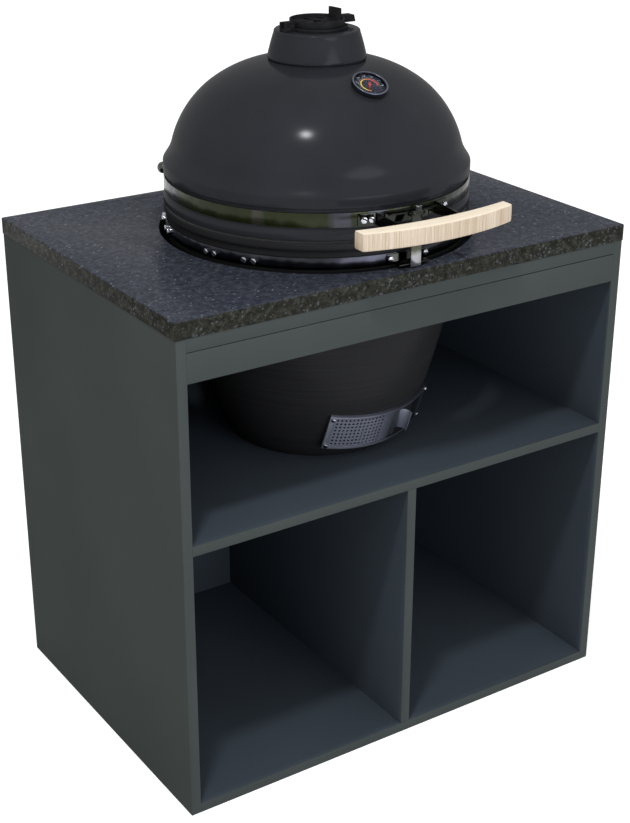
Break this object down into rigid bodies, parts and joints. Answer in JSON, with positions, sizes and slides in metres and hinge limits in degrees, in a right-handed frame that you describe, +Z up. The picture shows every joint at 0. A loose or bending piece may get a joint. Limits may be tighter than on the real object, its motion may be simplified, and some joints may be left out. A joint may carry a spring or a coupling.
{
  "type": "kamado grill table",
  "caption": "Anthracite outdoor cabinet with a stone worktop and a black ceramic charcoal grill let into it, with a hinged domed lid.",
  "frame": {"origin": "centre of the cabinet's footprint on the floor", "axes": "+Z up, -Y out of the cabinet's open front, +X to the right seen from the front"},
  "size_m": [0.902, 0.7057, 1.2648],
  "materials": {
    "cabinet_board": "matt anthracite film on board",
    "granite": "honed dark granite with light flecks",
    "black_glaze": "satin black glaze",
    "refractory": "unglazed refractory",
    "felt": "black felt",
    "steel": "polished stainless steel",
    "cast_iron": "black cast iron",
    "handle_wood": "pale oiled wood",
    "dial_face": "dark printed dial",
    "needle_red": "red paint",
    "clear_glass": "clear"
  },
  "bodies": {
    "table": {"left_side_panel": "cabinet_board", "right_side_panel": "cabinet_board", "bottom_board": "cabinet_board", "middle_shelf": "cabinet_board", "centre_divider": "cabinet_board", "back_panel": "cabinet_board", "top_board": "cabinet_board", "front_rail": "cabinet_board", "stone_worktop": "granite", "base_bowl": "black_glaze", "rim_gasket": "felt", "fire_box": "refractory", "fire_ring": "refractory", "lower_band": "steel", "lower_clamp_bolt": "steel", "side_shelf_bolts": "steel", "latch_catch": "steel", "latch_catch_bolts": "steel", "hinge_base_bracket": "steel", "hinge_base_bolts": "steel", "hinge_pin": "steel", "hinge_dome_nuts": "steel", "vent_frame": "steel", "vent_bolts": "steel"},
    "lid": {"lid_dome": "black_glaze", "upper_band": "steel", "upper_clamp_bolt": "steel", "hinge_lid_bracket": "steel", "hinge_lid_bolts": "steel", "left_handle_bracket": "steel", "right_handle_bracket": "steel", "handle_bracket_bolts": "steel", "wood_handle": "handle_wood", "handle_screws": "steel", "latch_plate": "steel", "latch_pin": "steel", "thermometer_case": "steel", "thermometer_dial": "dial_face", "thermometer_glass": "clear_glass", "thermometer_nut": "steel", "chimney_collar": "cast_iron", "chimney_hinge_pin": "steel"},
    "latch": {"latch_strap": "steel"},
    "needle": {"thermometer_needle": "needle_red"},
    "cap": {"chimney_cap": "cast_iron", "damper_rivet": "steel"},
    "damper": {"damper_disc": "cast_iron"},
    "grid": {"cooking_grid": "cast_iron"},
    "grate": {"charcoal_grate": "cast_iron"},
    "screen": {"vent_screen": "steel"},
    "door": {"vent_door": "steel"}
  },
  "joints": [
    {"name": "lid_open", "type": "hinge", "parent": "table", "child": "lid", "pos_m": [0, 0.2968, 0.9448], "axis": [-1, 0, 0], "range_deg": [0, 75]},
    {"name": "latch_swing", "type": "hinge", "parent": "lid", "child": "latch", "pos_m": [0, -0.3058, 0.9874], "axis": [-1, 0, 0], "range_deg": [0, 25]},
    {"name": "needle_turn", "type": "hinge", "parent": "lid", "child": "needle", "pos_m": [0, -0.168, 1.16355], "axis": [0, -0.4452, 0.8955], "range_deg": [-255, 0]},
    {"name": "cap_open", "type": "hinge", "parent": "lid", "child": "cap", "pos_m": [-0.061, -0.016, 1.2455], "axis": [0, -1, 0], "range_deg": [0, 95]},
    {"name": "damper_turn", "type": "hinge", "parent": "cap", "child": "damper", "pos_m": [0, -0.016, 1.244], "axis": [0, 0, 1], "range_deg": [-15, 15]},
    {"name": "grid_lift", "type": "slide", "parent": "table", "child": "grid", "axis": [0, 0, 1], "range_m": [0, 0.05]},
    {"name": "grate_lift", "type": "slide", "parent": "table", "child": "grate", "axis": [0, 0, 1], "range_m": [0, 0.2]},
    {"name": "screen_slide", "type": "hinge", "parent": "table", "child": "screen", "pos_m": [-0.00241, 0.00361, 0.60649], "axis": [0.0417, -0.3395, 0.9397], "range_deg": [0, 2.5]},
    {"name": "door_slide", "type": "hinge", "parent": "table", "child": "door", "pos_m": [-0.00241, 0.00361, 0.60649], "axis": [0.0417, -0.3395, 0.9397], "range_deg": [-3, 15]}
  ]
}
